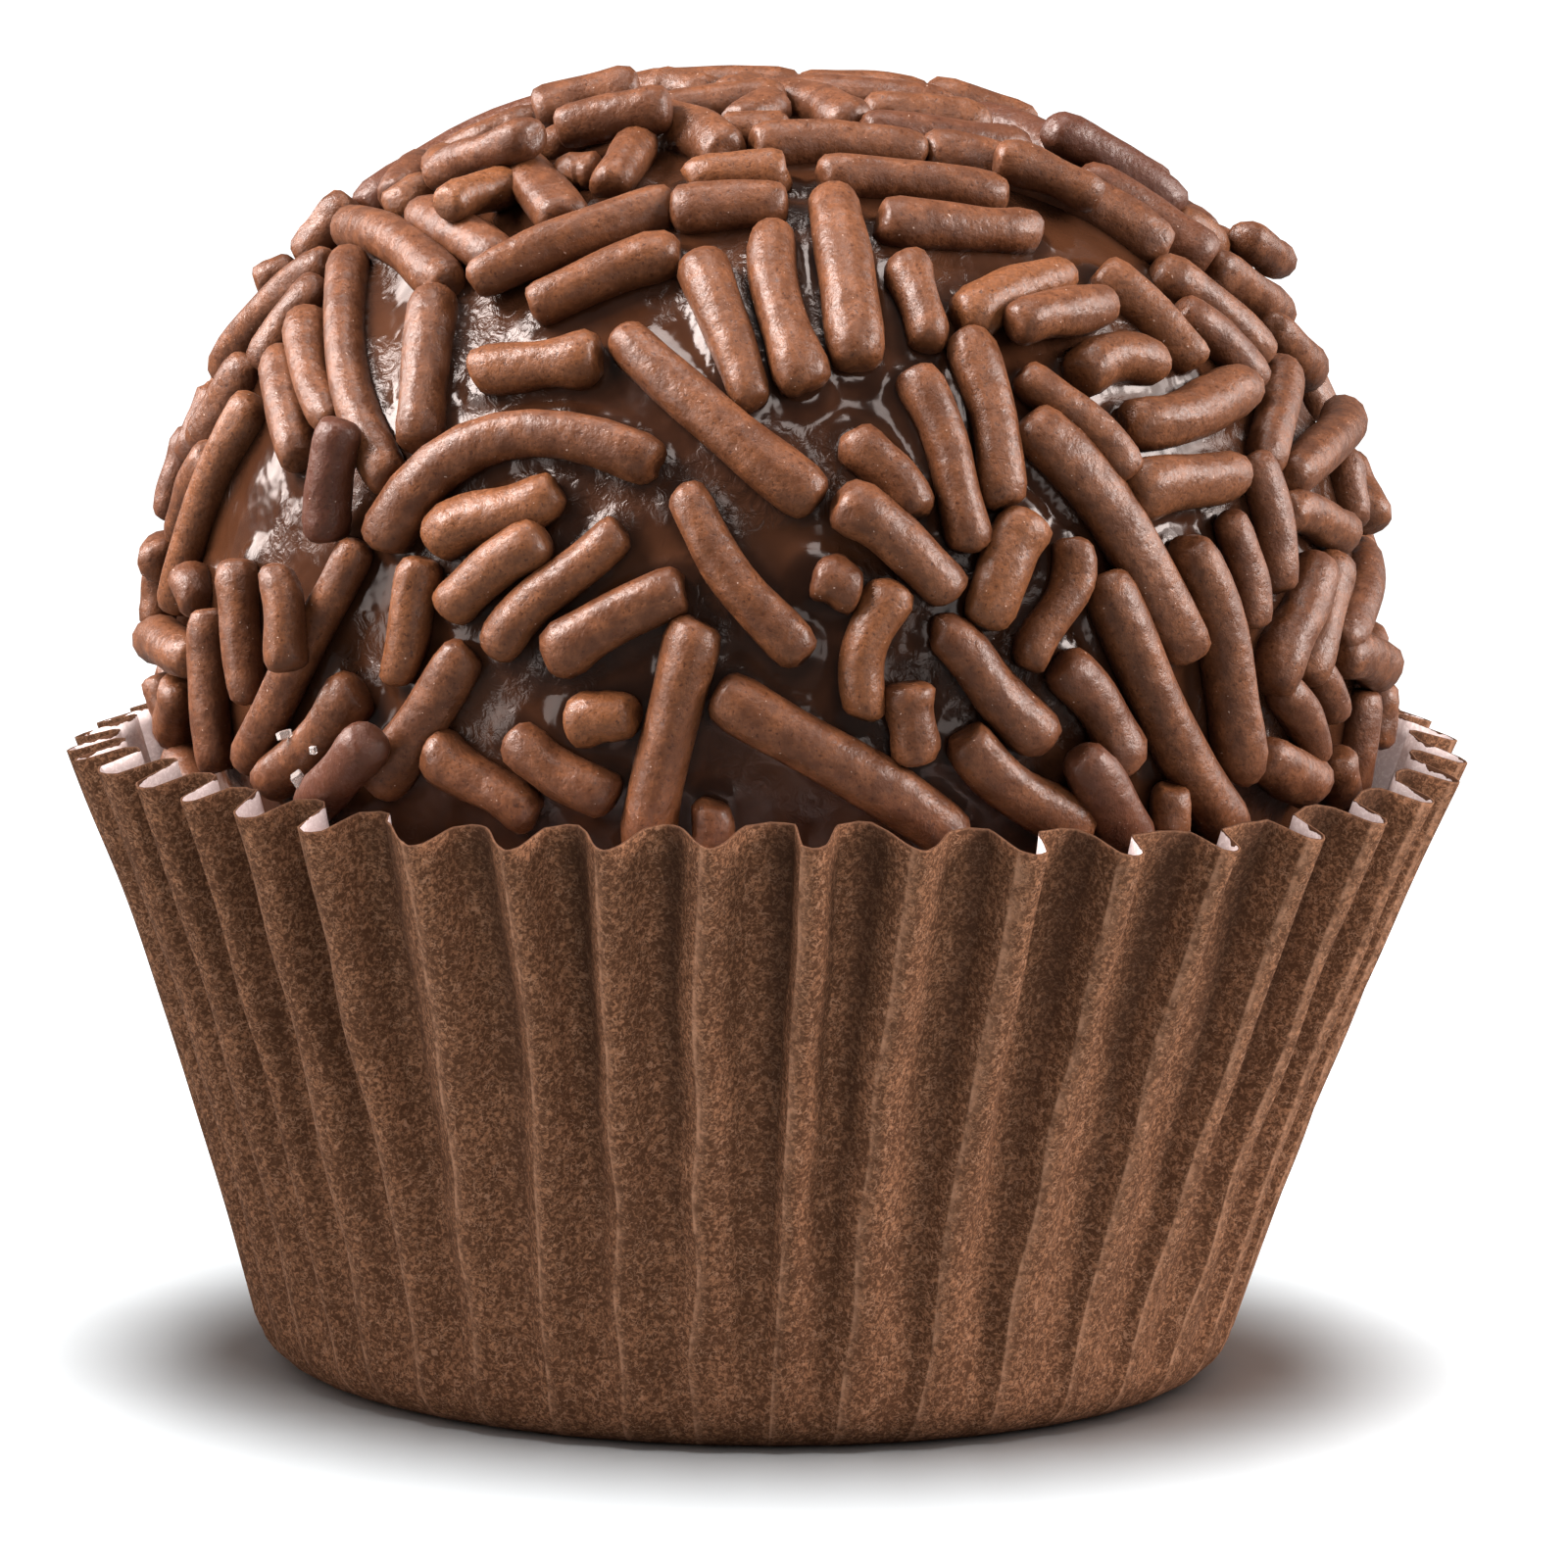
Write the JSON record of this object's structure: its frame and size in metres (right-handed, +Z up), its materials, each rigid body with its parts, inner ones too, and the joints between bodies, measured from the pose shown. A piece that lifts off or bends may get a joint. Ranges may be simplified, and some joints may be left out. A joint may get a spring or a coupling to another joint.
{
  "type": "brigadeiro",
  "caption": "Round chocolate fudge sweet coated with long chocolate sprinkles, standing in a pleated brown paper case with a white inside.",
  "frame": {"origin": "on the surface it stands on, under the middle of the case's rim", "axes": "+Z up through the ball, -Y towards the front, +X to the front view's right"},
  "size_m": [0.0364, 0.0364, 0.034],
  "materials": {
    "sprinkles": "satin milk-chocolate sprinkles with fine pores, each a little different in brown",
    "fudge": "wet glossy dark chocolate fudge, finely wrinkled between the sprinkles",
    "case_outside": "matt brown greaseproof paper with fine lighter and darker fibres",
    "case_inside": "white greaseproof paper, faintly waxy",
    "sugar": "tiny clear sugar crystals"
  },
  "bodies": {
    "root": {"coated_ball": "sprinkles", "paper_case": "case_outside"}
  },
  "joints": []
}
